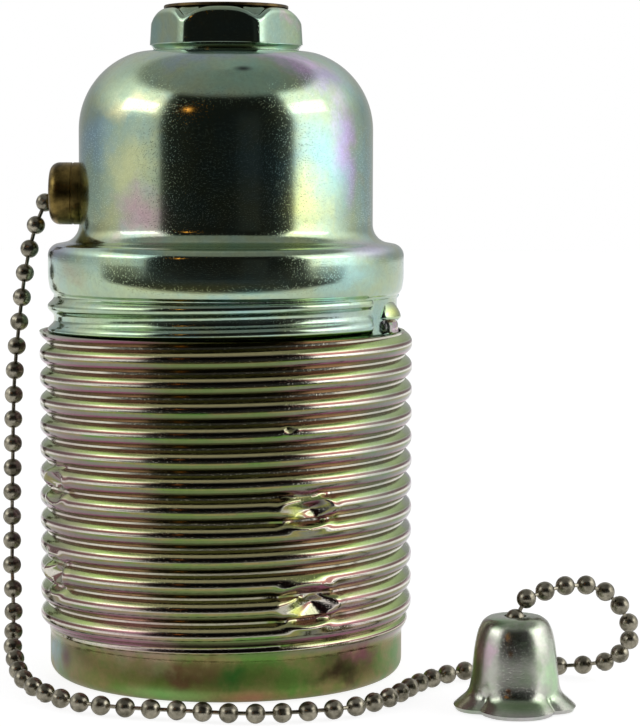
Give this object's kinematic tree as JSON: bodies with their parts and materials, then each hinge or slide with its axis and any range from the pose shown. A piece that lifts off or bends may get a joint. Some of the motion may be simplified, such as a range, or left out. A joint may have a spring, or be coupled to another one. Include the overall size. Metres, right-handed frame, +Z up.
{
  "type": "switched lamp socket",
  "caption": "Threaded metal lamp holder with a pull-chain switch: hexagonal cable entry, domed cap, long rolled-thread barrel, bell-mouth outlet and bead chain with a small bell.",
  "frame": {"origin": "on the cap and barrel's axis, at the rim of the lamp mouth that it stands on", "axes": "+Z up to the cable entry, -X towards the chain outlet, -Y to the front of the picture"},
  "size_m": [0.0668, 0.0475, 0.0707],
  "materials": {
    "cap_metal": "zinc plated and passivated, blue-green to yellow sheen",
    "barrel_metal": "zinc plated and passivated, olive to yellow sheen with pink and mauve patches",
    "bush_metal": "dark oxidised rim",
    "outlet_brass": "turned and darkened",
    "steel": "bright plated",
    "spring_bronze": "phosphor bronze strip",
    "ceramic": "glazed steatite",
    "brass": "plain",
    "cam_plastic": "moulded phenolic",
    "chain_metal": "nickel plated, darkened",
    "bell_metal": "nickel plated with a few stains"
  },
  "bodies": {
    "housing": {"cap": "cap_metal", "barrel": "barrel_metal", "entry_bush": "bush_metal", "chain_outlet": "outlet_brass", "outlet_nut": "steel", "locking_tab": "spring_bronze", "insulator_body": "ceramic", "insulating_sleeve": "ceramic", "lamp_shell": "brass", "shell_screws": "brass", "centre_contact": "spring_bronze", "centre_screw": "brass", "terminal_block_live": "brass", "terminal_block_neutral": "brass", "terminal_screws": "steel", "earth_bracket": "steel", "bracket_screws": "steel", "earth_screw": "brass", "switch_frame": "steel", "frame_rivets": "brass", "rotor_pin": "steel", "return_spring": "steel", "detent_spring": "spring_bronze", "moving_contact": "spring_bronze", "fixed_contact": "spring_bronze", "contact_screws": "steel"},
    "chain": {"pull_chain": "chain_metal", "chain_coupling": "chain_metal", "pull_bell": "bell_metal"},
    "arm": {"pull_arm": "steel", "drive_pawl": "steel"},
    "rotor": {"ratchet_wheel": "brass", "cam_rotor": "cam_plastic"}
  },
  "joints": [
    {"name": "chain_pull", "type": "slide", "parent": "housing", "child": "chain", "axis": [-1, 0, 0], "range_m": [0, 0.00337], "stiffness_N_per_m": 300, "springref_m": -0.003},
    {"name": "arm_swing", "type": "hinge", "parent": "housing", "child": "arm", "pos_m": [-0.0015, 0, 0.05585], "axis": [0, 1, 0], "range_deg": [0, 36], "deforming": ["return_spring"]},
    {"name": "rotor_step", "type": "hinge", "parent": "housing", "child": "rotor", "pos_m": [-0.0015, 0, 0.05585], "axis": [0, 1, 0], "range_deg": [0, 36]}
  ],
  "couplings": [
    {"joint": "arm_swing", "follows": "chain_pull", "rad_per_m": 185.9},
    {"joint": "rotor_step", "follows": "chain_pull", "rad_per_m": 185.9}
  ]
}
